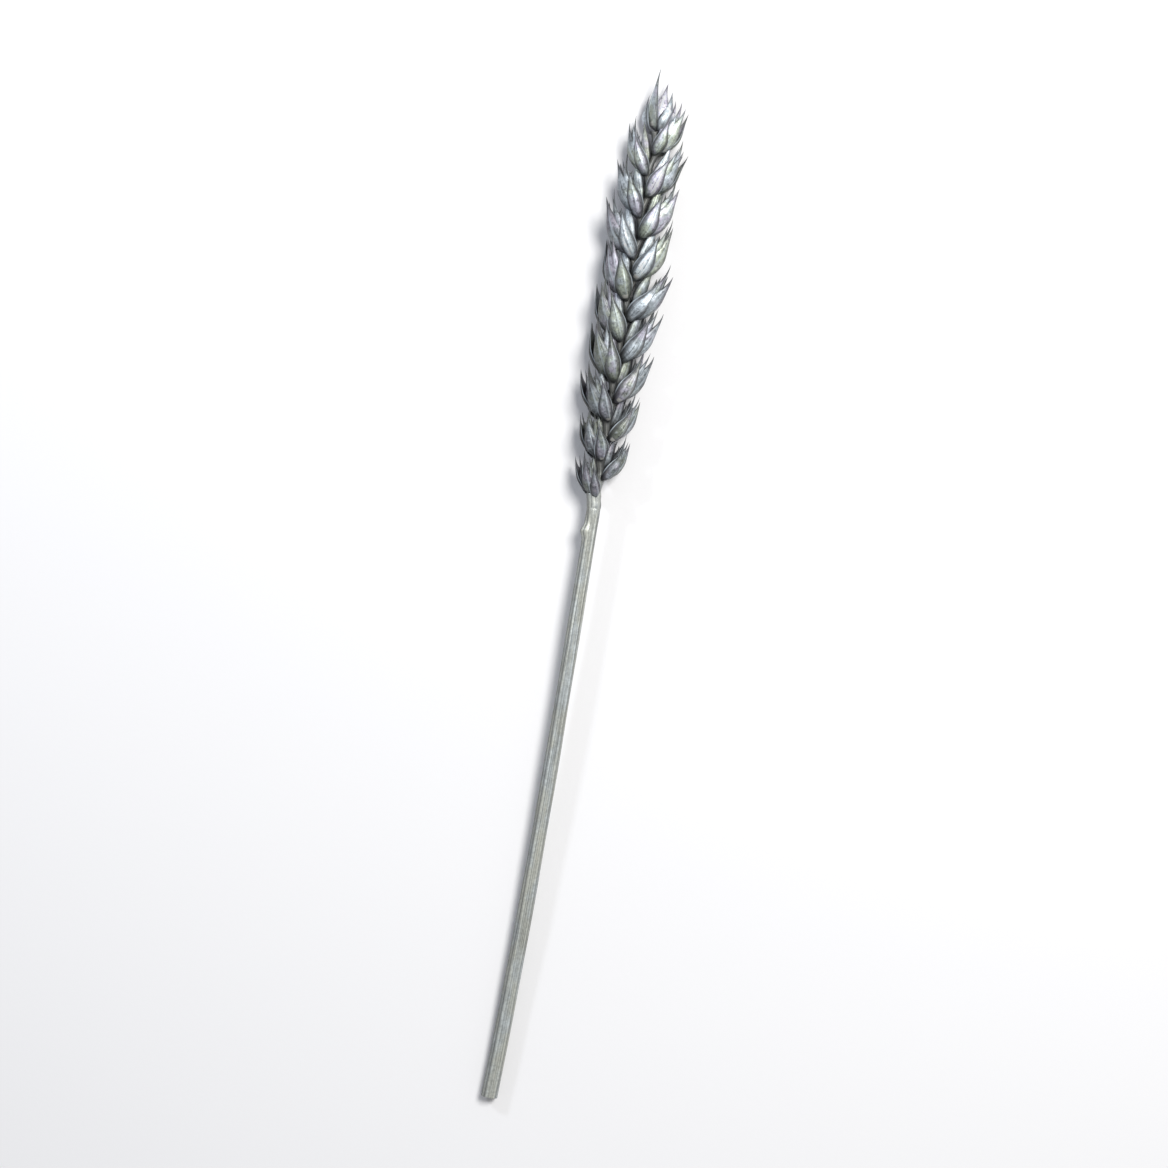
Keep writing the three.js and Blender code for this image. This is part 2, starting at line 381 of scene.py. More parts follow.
GLUMES = [glume_rule(1), glume_rule(-1)]
LEMMAS = [
    lemma_rule((0, 0.3, 0.2), (4.7, 3.3, 3.2), (6.1, 2.8, 9.6), (0.6, 0.8, 0)),
    lemma_rule((0, -0.3, 0.4), (4.7, -3.2, 3.6), (6.0, -2.7, 10.0), (0.6, -0.8, 0)),
    lemma_rule((0.2, 0, 1.0), (4.9, 0.4, 5.0), (5.2, 0.4, 12.2), (1, 0.15, 0)),
]
# Smaller florets between the large ones, too fine for the solids
UPPER_LEMMAS = [
    lemma_rule((0.2, 0.4, 1.2), (3.3, 4.1, 3.4), (5.0, 3.5, 10.2), (0.4, 0.9, 0), 1.4, 1.0),
    lemma_rule((0.2, -0.4, 1.4), (3.3, -4.0, 3.8), (4.9, -3.4, 10.5), (0.4, -0.9, 0), 1.35, 1.0),
    lemma_rule((0.3, 0, 2.4), (2.2, 0.1, 7.0), (2.7, 0.1, 12.6), (0.5, 0.85, 0), 1.25, 0.8),
]
# How much of its spread across the fan a scale of the last spikelet keeps
UPRIGHT_FAN = {"base": 0.7, "belly": 0.85, "tip": 0.7}


def upright(rule, i):
    """A scale of the last spikelet, closed upwards."""
    side = 1 if i % 2 else -1
    made = dict(rule)
    for name, out_share, shift in (("base", 1, -0.6), ("belly", 0.35, 0), ("tip", 0.2 * side, 0)):
        out, fan, along = rule[name]
        made[name] = (out_share * out + shift, UPRIGHT_FAN[name] * fan, along)
    return made


def plumpness(t, rule):
    """Share of the half width along a scale: a round belly low down, drawn in to a slender beak."""
    return np.sin(np.pi * t ** rule["belly_power"]) * (1 - rule["beak_thinning"] * smooth(0.5, 0.92, t))


def spine(ear, k, rule, seed, awn):
    """Base, belly and end of a scale's curve, the way its back faces, and its spikelet's size."""
    origin, along, out, fan, size = ear.spikelet(k)
    turn = np.array([out, fan, along])
    tip = np.array([v + ear.scatter * draw(seed, axis) for axis, v in enumerate(rule["tip"])])
    base, belly = np.array(rule["base"]), np.array(rule["belly"])
    slant = unit((tip - belly) @ turn)
    base, belly, tip = (p @ turn * size + origin for p in (base, belly, tip))
    return base, belly, tip + slant * awn, unit(np.array(rule["back"]) @ turn), size


# Meshes


class Growth:
    """Gathers many closed tubes into one mesh, with what the paint reads: across, along and a seed."""

    def __init__(self):
        self.points, self.faces, self.grain, self.count = [], [], [], 0

    def tube(self, rings, start, end, grain):
        """Rings as an array of rows, columns and XYZ, closed by a point at each end. grain has the same rows
        and columns; its first and last rows serve the end points too."""
        rows, columns, _ = rings.shape
        n = self.count
        self.points.append(np.vstack([rings.reshape(-1, 3), [start, end]]))
        self.grain.append(np.vstack([grain.reshape(-1, 3), grain[0].mean(0), grain[-1].mean(0)]))
        row, column = np.meshgrid(np.arange(rows - 1), np.arange(columns), indexing="ij")
        a = n + row * columns + column
        b = n + row * columns + (column + 1) % columns
        quads = np.stack([a, b, b + columns, a + columns], -1).reshape(-1, 4)
        self.faces += quads.tolist()
        first, last = n + rows * columns, n + rows * columns + 1
        for i in range(columns):
            j = (i + 1) % columns
            self.faces.append([n + j, n + i, first])
            self.faces.append([n + (rows - 1) * columns + i, n + (rows - 1) * columns + j, last])
        self.count += rows * columns + 2

    def piece(self, name, material, slot, node):
        """The mesh as an object that rides on the part and stands for a node."""
        points = np.vstack(self.points)
        # What would be under the surface lies pressed flat on it
        points[:, 2] = (points[:, 2] + np.sqrt(points[:, 2] ** 2 + PRESSED**2)) / 2
        mesh = bpy.data.meshes.new(name)
        mesh.from_pydata((points * MM).tolist(), [], self.faces)
        mesh.polygons.foreach_set("use_smooth", [True] * len(mesh.polygons))
        layer = mesh.attributes.new("grain", "FLOAT_VECTOR", "POINT")
        layer.data.foreach_set("vector", np.vstack(self.grain).ravel())
        mesh.materials.append(material)
        mesh.validate()
        mesh.update()
        piece = bpy.data.objects.new(name, mesh)
        bpy.context.scene.collection.objects.link(piece)
        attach(piece, "root")
        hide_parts(node)


def roof(u):
    """Section of a glume: an open boat."""
    return u, 1.12 * (1 - np.abs(u) ** 1.8)


def hood(u):
    """Section of a lemma: wrapped more than half round."""
    return np.sin(1.9 * u), np.cos(1.9 * u)


def bend(base, belly, end, back, rows):
    """The share along a curve bent round its belly, its points, and the ways of its width and back."""
    t = ((1 - np.cos(np.pi * np.linspace(0, 1, rows + 2)[1:-1])) / 2)[:, None]
    points = (1 - t) ** 2 * base + 2 * (1 - t) * t * belly + t**2 * end
    along = unit(2 * (1 - t) * (belly - base) + 2 * t * (end - belly))
    width = unit(np.cross(along, back))
    return t, points, width, np.cross(width, along)


def grain_of(across, t, seed):
    """What the paint reads on each point of a scale."""
    seeds = np.full(across.shape, (seed * SEED_STEP) % 1)
    return np.stack([across, np.broadcast_to(t, across.shape), seeds], -1)


def shell(growth, ear, curve, rule, seed, section, keel, rows, columns):
    """A scale of chaff: a thin boat round its spine. keel is the place and height of its ridge."""
    base, belly, end, back, size = curve
    t, spine_points, width, normal = bend(base, belly, end, back, rows)
    twist = TWIST * draw(seed, 11) * smooth(0.3, 1, t)
    twisted = width * np.cos(twist) + normal * np.sin(twist)
    width, normal = twisted, normal * np.cos(twist) - width * np.sin(twist)
    waver = WAVER * size * np.sin(TURN * (0.9 * t + 0.5 * draw(seed, 7))) * np.sin(np.pi * t)
    curl = (CURL + CURL_SCATTER * draw(seed, 12)) * size
    spine_points = spine_points + width * waver * draw(seed, 8) + normal * curl * smooth(0.55, 1, t)
    end = end + normal[-1] * curl
    share = plumpness(t, rule)
    half = rule["half_width"] * size * (1 + WIDTH_SCATTER * draw(seed, 5)) * share
    deep = rule["thickness"] * size * (1 + DEPTH_SCATTER * draw(seed, 6)) * share
    u = np.sin(np.pi / 2 * np.linspace(-1, 1, columns))[None, :]
    keel_at, keel_height = keel
    ridge = np.exp(-np.abs((u - keel_at) / RIDGE_WIDTH) ** RIDGE_EDGE) * smooth(0.02, 0.3, t) * (1 - 0.4 * t)
    nerves = NERVE_HEIGHT * np.cos(np.pi * NERVE_COUNT * u) * smooth(0.2, 0.5, t)
    dent_at = 0.5 * draw(seed, 9), 0.45 + 0.2 * draw(seed, 10)
    dent = np.exp(-(((u - dent_at[0]) / DENT_ACROSS) ** 2) - ((t - dent_at[1]) / DENT_ALONG) ** 2)
    rumple = RUMPLE * np.sin(9 * t + 4 * u + 6 * draw(seed, 13)) * np.sin(np.pi * t)
    relief = keel_height * ridge + nerves - DENT_DEPTH * dent + rumple
    side, rise = section(u)
    side, rise = side * half, rise * deep * (1 + relief)
    # The inner side lies one wall's thickness under the outer one
    slope_side, slope_rise = np.gradient(side, axis=1), np.gradient(rise, axis=1)
    slope = np.hypot(slope_side, slope_rise) + 1e-9
    wall = np.minimum(ear.wall, 0.4 * half) * (1 - 0.5 * smooth(0.75, 1, np.abs(u)))
    inner_side, inner_rise = side + slope_rise / slope * wall, rise - slope_side / slope * wall
    side = np.concatenate([side, inner_side[:, ::-1]], 1)[..., None]
    rise = np.concatenate([rise, inner_rise[:, ::-1]], 1)[..., None]
    rings = spine_points[:, None] + side * width[:, None] + rise * normal[:, None]
    # The paint finds the keel on the same side of every scale
    outside = np.broadcast_to(-u if keel_at < 0 else u, (rows, columns))
    across = np.concatenate([outside, np.full_like(outside, INSIDE)], 1)
    growth.tube(rings, base, end, grain_of(across, t, seed))


def pod(growth, curve, rule, seed, rows=16, columns=14):
    """A closed, flattened pod: the palea on its grain, inside a lemma and a little smaller."""
    base, belly, end, back, size = curve
    tip = base + POD_LENGTH * (end - base)
    t, spine_points, width, normal = bend(base, base + POD_BEND * (belly - base), tip, back, rows)
    share = np.sin(np.pi * t**0.7)
    angle = np.linspace(0, TURN, columns, endpoint=False)[None, :]
    groove = 1 - POD_GROOVE * np.exp(-(((angle - 0.75 * TURN) / 0.5) ** 2))
    across = np.cos(angle) * POD_WIDTH * rule["half_width"] * size * share
    outward = np.sin(angle) * POD_DEPTH * rule["thickness"] * size * share * groove
    rings = spine_points[:, None] + across[..., None] * width[:, None] + outward[..., None] * normal[:, None]
    growth.tube(rings, base, tip, grain_of(np.full(across.shape, INSIDE), t, seed))


def stem_tube(growth, ear, stations, columns):
    """A tube on the centre line through stations, each a y, radius(y, angle), sideways shift and bareness."""
    rings, grain = [], []
    angle = np.linspace(0, TURN, columns, endpoint=False)
    for y, radius, shift, bare in stations:
        origin, along, out, fan = ear.frame(y)
        r = radius(y, angle)[:, None]
        rings.append(origin + out * shift + r * (np.cos(angle)[:, None] * out + np.sin(angle)[:, None] * fan))
        grain.append(np.stack([angle / np.pi - 1, np.full(columns, y / 10), np.full(columns, bare)], -1))
    rings, grain = np.array(rings)[:, ::-1], np.array(grain)[:, ::-1]
    growth.tube(rings, rings[0].mean(0), rings[-1].mean(0), grain)


def hair(growth, root, tip, radius, columns=4):
    """A tapering hair."""
    along = unit(tip - root)
    width = unit(np.cross(along, (0.3, 0.2, 0.9)))
    normal = np.cross(width, along)
    angle = np.linspace(0, TURN, columns, endpoint=False)
    ring = np.cos(angle)[:, None] * width - np.sin(angle)[:, None] * normal
    rings = np.array([root + radius * ring, root + 0.6 * (tip - root) + 0.6 * radius * ring])
    growth.tube(rings, root, tip, np.zeros((2, columns, 3)))


# Shader expressions


class Value:
    """A shader socket that takes part in Python expressions by adding its Math nodes."""

    def __init__(self, finish, socket):
        self.finish, self.socket = finish, socket

    def maths(self, operation, *values):
        """One Math node on values or numbers."""
        settings = {"operation": operation}
        return self.finish.node("ShaderNodeMath", settings, dict(enumerate(values)))

    def __add__(self, other):
        return self.maths("ADD", self, other)

    __radd__ = __add__

    def __sub__(self, other):
        return self.maths("SUBTRACT", self, other)

    def __rsub__(self, other):
        return self.maths("SUBTRACT", other, self)

    def __mul__(self, other):
        return self.maths("MULTIPLY", self, other)

    __rmul__ = __mul__

    def __abs__(self):
        return self.maths("ABSOLUTE", self)

    def sine(self):
        """Sine of the value in radians."""
        return self.maths("SINE", self)

    def least(self, other):
        """The smaller of two values."""
        return self.maths("MINIMUM", self, other)

    def ramp(self, low, high):
        """0 at low, 1 at high, smooth between and level beyond."""
        return self.finish.node(
            "ShaderNodeMapRange",
            {"interpolation_type": "SMOOTHSTEP"},
            {"Value": self, "From Min": low, "From Max": high},
        )


class Finish:
    """A material whose nodes are added by expressions."""

    def __init__(self, name):
        self.material = bpy.data.materials.new(name)
        self.material.use_nodes = True
        self.tree = self.material.node_tree
        self.tree.nodes.clear()

    def node(self, kind, settings=(), inputs=(), out=0):
        """A node of a type, its settings, and the values or links of its sockets by name or place."""
        node = self.tree.nodes.new(kind)
        for name, value in dict(settings).items():
            setattr(node, name, value)
        for key, value in dict(inputs).items():
            if isinstance(value, Value):
                self.tree.links.new(value.socket, node.inputs[key])
            else:
                node.inputs[key].default_value = value
        return Value(self, node.outputs[out]) if node.outputs else None

    def blend(self, factor, a, b):
        """Colour a where factor is 0 and b where it is 1."""
        a, b = (v if isinstance(v, Value) else (*v, 1) for v in (a, b))
        return self.node("ShaderNodeMix", {"data_type": "RGBA"}, {0: factor, 6: a, 7: b}, 2)

    def grain(self):
        """Place on the part, and the mesh's own across, along and seed."""
        place = self.node("ShaderNodeTexCoord", {}, {}, 3)
        grain = self.node("ShaderNodeAttribute", {"attribute_name": "grain"}, {}, 1)
        parts = self.node("ShaderNodeSeparateXYZ", {}, {"Vector": grain}).socket.node
        return place, *(Value(self, parts.outputs[i]) for i in range(3))

    def painted_light_along_ear(self, place):
        """Painted light and shade along the ear: a factor that lightens the paint towards the tip and darkens
        it towards the collar.
        """
        y = self.node("ShaderNodeSeparateXYZ", {}, {"Vector": place}, 1)
        return 0.68 + 2.0 * y.ramp(0.018, 0.092)

    def sideways(self, place):
        """Distance to either side of the ear's middle, in metres."""
        return abs(self.node("ShaderNodeSeparateXYZ", {}, {"Vector": place}, 0))

    def facing(self):
        """How far the surface faces along X of the part, from -1 on its left to 1 on its right."""
        normal = self.node("ShaderNodeTexCoord", {}, {}, 1)
        return self.node("ShaderNodeSeparateXYZ", {}, {"Vector": normal}, 0)

    def joined(self, x, y, z):
        """A vector of three values."""
        return self.node("ShaderNodeCombineXYZ", {}, {0: x, 1: y, 2: z})

    def shade(self, colour, factor):
        """A colour darkened or lightened by a value."""
        return self.node("ShaderNodeVectorMath", {"operation": "SCALE"}, {0: colour, "Scale": factor})

    def held(self, colour):
        """A colour with no channel brighter than paint is."""
        return self.node("ShaderNodeVectorMath", {"operation": "MINIMUM"}, {0: colour, 1: (BRIGHTEST,) * 3})

    def noise(self, place, scale, detail=3.0, roughness=0.55):
        """Cloudy noise from 0 to 1; scale is in cycles a metre where place is the place on the part."""
        inputs = {"Vector": place, "Scale": scale, "Detail": detail, "Roughness": roughness}
        return self.node("ShaderNodeTexNoise", {}, inputs)

    def bumped(self, height, distance, strength):
        """A normal raised by a height, over a distance in metres."""
        return self.node("ShaderNodeBump", {}, {"Height": height, "Distance": distance, "Strength": strength})

    def surface(self, **sockets):
        """The finished material, from what its shader's sockets get."""
        names = {name.replace("_", " "): value for name, value in sockets.items()}
        shader = self.node("ShaderNodeBsdfPrincipled", {}, names)
        self.node("ShaderNodeOutputMaterial", {}, {"Surface": shader})
        return self.material


def times(colour, share):
    """A plain colour made darker or lighter."""
    return tuple(share * v for v in colour)


def chaff_paint(name, gloss, light, keel=0.0):
    """Spray paint on dry chaff: silver on the backs and husk where it is thin, with dark painted shade in the
    gaps, on the flanks and inside, and painted highlights.
    """
    c = colours()
    f = Finish(name)
    place, across, along, seed = f.grain()
    inside = across.ramp(1.15, 1.35)
    outside = 1 - inside
    side = abs(across).least(1)
    patch = f.noise(place, 170, 3)
    cloud = f.noise(place, 420, 4)
    fine = f.noise(place, 1700, 4, 0.6)
    speck = f.noise(place, 5200, 2)
    fibre = f.noise(f.joined(across * 8, along * 1.5, seed * 90), 1.0, 4, 0.65)
    fleck = f.noise(place, 1150, 2, 0.6)
    # Nerves run the length of a scale, straying a little
    nerve = abs((across * 9 + cloud * 2.6 + seed * 40).sine())
    tone = f.blend(cloud.ramp(0.36, 0.66), times(c.silver, 1.2), times(c.silver, 0.6))
    tone = f.blend(((seed * 37).sine() * 0.12 + patch).ramp(0.5, 0.66) * 0.65, tone, c.lilac[:])
    tone = f.blend(((seed * 53).sine() * 0.12 + patch).ramp(0.52, 0.36) * 0.75, tone, c.olive[:])
    # Each scale's tone differs at random, and painted light and shade make it lighter towards the tip and
    # darker towards the collar
    tone = f.shade(tone, (light + 0.26 * (seed * 91).sine()) * f.painted_light_along_ear(place))
    # The paint is thin in streaks, and the husk's straw colour shows there
    thin = (fine * 0.5 + fibre * 0.65).ramp(0.62, 0.78)
    tone = f.blend(thin * 0.5, tone, c.husk[:])
    tone = f.blend(fibre.ramp(0.5, 0.26) * 0.75, tone, c.graphite_and_shade[:])
    # Painted shade in the grooves between the nerves
    nerve_groove_shade = nerve.ramp(0.4, 0.0) * along.ramp(0.08, 0.3) * fibre.ramp(0.6, 0.4)
    tone = f.blend(nerve_groove_shade * 0.5, tone, c.graphite_and_shade[:])
    # The spray dried in mottles
    tone = f.shade(tone, 0.7 + 0.6 * fine.ramp(0.32, 0.68))
    tone = f.blend(fleck.ramp(0.42, 0.34) * 0.5, tone, c.graphite_and_shade[:])
    # Painted glints: bright flecks of lighter silver on the scales' backs
    tone = f.blend(fleck.ramp(0.58, 0.68) * outside * 0.45, tone, times(c.silver, 1.85))
    # Painted highlights in streaks along the fibres
    tone = f.blend(fibre.ramp(0.56, 0.7) * cloud.ramp(0.4, 0.6) * 0.42, tone, times(c.silver, 1.8))
    # Painted shade darkens the flanks and gaps of each scale, and its foot
    tone = f.blend(side.ramp(0.4, 0.86) * outside * 0.82, tone, c.graphite_and_shade[:])
    tone = f.blend(along.ramp(0.3, 0.06) * 0.75, tone, c.graphite_and_shade[:])
    # Painted shade darkens what faces left along X of the part
    tone = f.blend(f.facing().ramp(-0.1, -0.75) * outside * 0.44, tone, c.graphite_and_shade[:])
    # The beaks darken towards their tips
    tone = f.blend(along.ramp(0.68, 0.93) * 0.68, tone, times(c.graphite_and_shade, 1.6))
    # Painted shade darkens both sides of the ear against its middle
    tone = f.blend(f.sideways(place).ramp(0.003, 0.007) * 0.5, tone, c.graphite_and_shade[:])
    # Painted highlight along the keel, and painted shade on the side beyond it
    flank_shade = (across - keel).ramp(0.08, 0.4) * along.ramp(0.1, 0.35) * outside
    tone = f.blend(flank_shade * 0.42, tone, c.graphite_and_shade[:])
    keel_highlight = abs(across - keel + 0.05 * (cloud - 0.5)).ramp(0.09, 0.02)
    keel_highlight = keel_highlight * along.ramp(0.12, 0.35) * along.ramp(0.95, 0.7)
    tone = f.blend(keel_highlight * fibre.ramp(0.3, 0.5) * outside * 0.6, tone, times(c.silver, 1.9))
    # The margins are lighter, and the callus at the foot is bare and pale
    rim = side.ramp(0.88, 0.95) * outside * along.ramp(0.12, 0.4)
    tone = f.blend(rim * 0.7, tone, times(c.silver, 1.7))
    foot = abs(along - 0.2).ramp(0.06, 0.025) * side.ramp(0.5, 0.25) * (seed * 71).sine().ramp(0.2, 0.5)
    tone = f.blend(foot * outside * 0.85, tone, c.callus[:])
    # Painted shade on the inner side of each scale
    tone = f.blend(inside * 0.6, tone, times(c.graphite_and_shade, 1.5))
    height = nerve.ramp(0.0, 0.5) * 0.45 + fibre * 0.55 + fine * 0.5 + speck * 0.2
    return f.surface(
        Base_Color=f.held(tone),
        Metallic=0.42 - 0.3 * thin - 0.25 * inside,
        Roughness=0.33 + 0.2 * fine + 0.16 * thin + 0.14 * side + 0.1 * inside,
        Coat_Weight=gloss * outside * (1 - thin),
        Coat_Roughness=0.22,
        Normal=f.bumped(height, 0.00008, 0.9),
    )


def straw_paint(name, grooves):
    """The same paint on the grooved straw. On its cut face and in its lumen the straw is bare."""
    c = colours()
    f = Finish(name)
    place, across, along, bare = f.grain()
    bare = bare.ramp(0.9, 1.0)
    fibre = f.noise(f.joined(across * 26, along * 0.5, 0), 1.0, 4, 0.65)
    patch = f.noise(f.joined(across * 1.5, along * 1.2, 3), 1.0, 3)
    cloud = f.noise(place, 520, 4)
    fine = f.noise(place, 2000, 4)
    groove = abs((across * grooves + cloud * 0.9).sine())
    tone = f.blend(cloud.ramp(0.36, 0.66), times(c.silver, 1.9), times(c.silver, 1.2))
    tone = f.blend(0.4 + 0.5 * patch.ramp(0.36, 0.6), tone, times(c.khaki, 1.1))
    tone = f.shade(tone, 0.88 + 0.24 * fine.ramp(0.35, 0.65))
    tone = f.blend(fibre.ramp(0.52, 0.28) * 0.8, tone, times(c.graphite_and_shade, 1.6))
    tone = f.blend(fibre.ramp(0.56, 0.7) * 0.5, tone, times(c.khaki, 1.4))
    # Painted shade darkens both flanks of the straw, widest on the side that faces left
    facing = f.facing()
    tone = f.blend(facing.ramp(-0.4, -0.85) * 0.62, tone, c.graphite_and_shade[:])
    tone = f.blend(facing.ramp(0.75, 0.98) * 0.6, tone, c.graphite_and_shade[:])
    tone = f.blend((fine * 0.5 + fibre * 0.5).ramp(0.56, 0.68) * 0.4, tone, c.husk[:])
    # Painted shade in the grooves
    tone = f.blend(groove.ramp(0.4, 0.0) * 0.5, tone, c.graphite_and_shade[:])
    # Painted shade on the rachis behind the scales, from a little above the collar
    shade_behind_scales = f.node("ShaderNodeSeparateXYZ", {}, {"Vector": place}, 1).ramp(0.018, 0.023)
    tone = f.blend(shade_behind_scales * 0.8, tone, c.graphite_and_shade[:])
    tone = f.blend(bare * 0.8, tone, times(c.husk, 1.3))
    height = groove.ramp(0.0, 0.5) * 0.6 + fibre * 0.7 + fine * 0.25
    return f.surface(
        Base_Color=f.held(tone),
        Metallic=0.3 - 0.3 * bare,
        Roughness=0.3 + 0.18 * fine + 0.2 * bare,
        Coat_Weight=0.15 - 0.15 * bare,
        Coat_Roughness=0.25,
        Normal=f.bumped(height, 0.00006, 0.7),
    )


def bristle_paint():
    """Fine pale hairs with a touch of the paint."""
    f = Finish("bristle_paint")
    place = f.node("ShaderNodeTexCoord", {}, {}, 3)
    speck = f.noise(place, 900)
    tone = f.blend(speck.ramp(0.4, 0.6), times(colours().silver, 1.2), colours().callus[:])
    return f.surface(Base_Color=tone, Roughness=0.4 + 0.2 * speck, Metallic=0.2)


def pale_floor():
    """Matt pale board under the ear."""
    f = Finish("pale_floor")
    place = f.node("ShaderNodeTexCoord", {}, {}, 3)
    fleck = f.noise(place, 900, 3)
    tone = f.blend(fleck * 0.1, colours().floor[:], times(colours().floor, 0.94))
    return f.surface(Base_Color=tone, Roughness=0.7 + 0.1 * fleck, Normal=f.bumped(fleck, 0.00003, 0.3))


# Operators


class WHEAT_OT_glumes(bpy.types.Operator):
    """Grow the two keeled outer scales of every spikelet"""

    bl_idname = "wheat.glumes"
    bl_label = "Glumes"

    def execute(self, context):
        ear, growth = Ear(), Growth()
        for k in range(ear.count + 1):
            for i, rule in enumerate(GLUMES):
                seed = DRAWS * k + i
                rule = upright(rule, i) if k == ear.count else rule
                curve = spine(ear, k, rule, seed, 0)
                keel = (GLUME_KEEL if i == 0 else -GLUME_KEEL, GLUME_KEEL_HEIGHT)
                shell(growth, ear, curve, rule, seed, roof, keel, *GLUME_MESH)
        growth.piece("glumes", chaff_paint("glume_paint", 0.2, 1.2, GLUME_KEEL), "painted_chaff", "ear")
        return {"FINISHED"}


class WHEAT_OT_lemmas(bpy.types.Operator):
    """Grow the plump inner scales of every spikelet, with their awns"""

    bl_idname = "wheat.lemmas"
    bl_label = "Lemmas"

    def execute(self, context):
        ear, growth = Ear(), Growth()
        for k in range(ear.count + 1):
            for i, rule in enumerate(LEMMAS):
                seed = DRAWS * k + LEMMA_DRAWS + i
                awn = ear.awn(k)
                if k == ear.count:
                    awn = awn + LAST_AWN if i == 1 else OTHER_LAST_AWNS * awn
                    rule = upright(rule, i)
                curve = spine(ear, k, rule, seed, awn)
                shell(growth, ear, curve, rule, seed, hood, (0, LEMMA_KEEL_HEIGHT), *LEMMA_MESH)
        growth.piece("lemmas", chaff_paint("lemma_paint", 0.15, 1.04), "painted_chaff", "ear")
        return {"FINISHED"}


class WHEAT_OT_upper_lemmas(bpy.types.Operator):
    """Grow the smaller upper scales that show between the large ones"""

    bl_idname = "wheat.upper_lemmas"
    bl_label = "Upper lemmas"

    def execute(self, context):
        ear, growth = Ear(), Growth()
        for k in range(ear.count):
            for i, rule in enumerate(UPPER_LEMMAS):
                seed = DRAWS * k + UPPER_DRAWS + i
                curve = spine(ear, k, rule, seed, 0.5 * ear.awn(k))
                shell(growth, ear, curve, rule, seed, hood, (0, UPPER_KEEL_HEIGHT), *UPPER_MESH)
        growth.piece("upper_lemmas", chaff_paint("upper_lemma_paint", 0.15, 1.12), "painted_chaff", "ear")
        return {"FINISHED"}


class WHEAT_OT_paleas(bpy.types.Operator):
    """Grow the palea and grain inside each lemma"""

    bl_idname = "wheat.paleas"
    bl_label = "Paleas"

    def execute(self, context):
        ear, growth = Ear(), Growth()
        for k in range(ear.count + 1):
            for i, rule in enumerate(LEMMAS):
                seed = DRAWS * k + LEMMA_DRAWS + i
                rule = upright(rule, i) if k == ear.count else rule
                pod(growth, spine(ear, k, rule, seed, 0), rule, seed)
        growth.piece("paleas", chaff_paint("palea_paint", 0.1, 1.0), "painted_chaff", "ear")
        return {"FINISHED"}


class WHEAT_OT_rachis(bpy.types.Operator):
    """Grow the zigzag rachis with a swelling at each spikelet"""

    bl_idname = "wheat.rachis"
    bl_label = "Rachis"

    def execute(self, context):
        ear, growth = Ear(), Growth()
        nodes = np.array([ear.y(k) for k in range(ear.count + 1)])
        sides = np.array([ear.zigzag if k % 2 else -ear.zigzag for k in range(ear.count + 1)])
        # It starts inside the straw
        start = ear.collar - 1.6

        def radius(y, angle):
            """Tapered, swollen at each spikelet, and as wide as the straw where it leaves it."""
            thin = ear.rachis_radius * (1 - 0.3 * (y - start) / (nodes[-1] - start))
            neck = (ear.top_radius + 0.17 - thin) * (1 - smooth(ear.collar + 0.6, ear.collar + 5, y))
            neck -= 0.3 * (1 - smooth(start, start + 1.4, y))
            knot = 0.28 * np.exp(-(((y - nodes) / 0.7) ** 2)).max()
            flat = 1 - 0.22 * np.abs(np.sin(angle)) * smooth(ear.collar, ear.collar + 3, y)
            return (thin * (1 + knot) + neck) * flat * (1 + 0.03 * np.cos(9 * angle))

        ys = np.linspace(start, nodes[-1], RACHIS_STATIONS)
        steps = np.interp(ys, np.concatenate([[ear.collar], nodes]), np.concatenate([[0], sides]))
        # The steps from side to side are eased into curves
        blur = np.hanning(EASING) / np.hanning(EASING).sum()
        eased = np.convolve(np.pad(steps, EASING // 2, mode="edge"), blur, mode="valid")
        stem_tube(growth, ear, [(y, radius, shift, 0) for y, shift in zip(ys, eased)], RACHIS_COLUMNS)
        growth.piece("rachis", straw_paint("rachis_paint", 14), "painted_chaff", "ear")
        return {"FINISHED"}


class WHEAT_OT_bristles(bpy.types.Operator):
    """Grow the short hairs at the foot of each spikelet"""

    bl_idname = "wheat.bristles"
    bl_label = "Bristles"

    def execute(self, context):
        ear, growth = Ear(), Growth()
        for k in range(ear.count):
            origin, along, out, fan, size = ear.spikelet(k)
            for i in range(BRISTLES):
                seed = 100 * k + i
                angle = math.pi * (0.12 + 0.76 * i / (BRISTLES - 1)) * (1 if i % 2 else -1)
                around = math.cos(angle) * out + math.sin(angle) * fan
                root = origin + around * 0.6 * size - along * (0.4 + 0.3 * draw(seed, 1))
                lean = unit(around * (0.7 + 0.3 * draw(seed, 2)) + along * 1.1 + out * 0.2 * draw(seed, 3))
                tip = root + lean * (1.1 + 0.35 * draw(seed, 4)) * size
                hair(growth, root, tip, BRISTLE_RADIUS)
        growth.piece("bristles", bristle_paint(), "painted_chaff", "ear")
        return {"FINISHED"}


